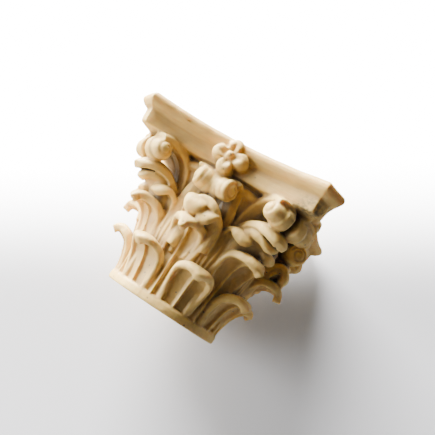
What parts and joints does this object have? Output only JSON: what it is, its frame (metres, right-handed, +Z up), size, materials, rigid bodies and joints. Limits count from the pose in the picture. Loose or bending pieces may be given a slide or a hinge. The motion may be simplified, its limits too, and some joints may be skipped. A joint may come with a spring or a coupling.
{
  "type": "corinthian capital",
  "caption": "Small corinthian capital, cast in one piece: acanthus leaves and scrolls on a flared bell under a hollow-sided abacus. It tops a model column.",
  "frame": {"origin": "middle of the flat underside of the foot ring", "axes": "+Z up along the capital's axis; the abacus flowers face -Y (front), +X, +Y and -X"},
  "size_m": [0.0389, 0.039, 0.03],
  "materials": {
    "resin": "satin ivory casting resin, slightly translucent"
  },
  "bodies": {
    "root": {"capital": "resin"}
  },
  "joints": []
}
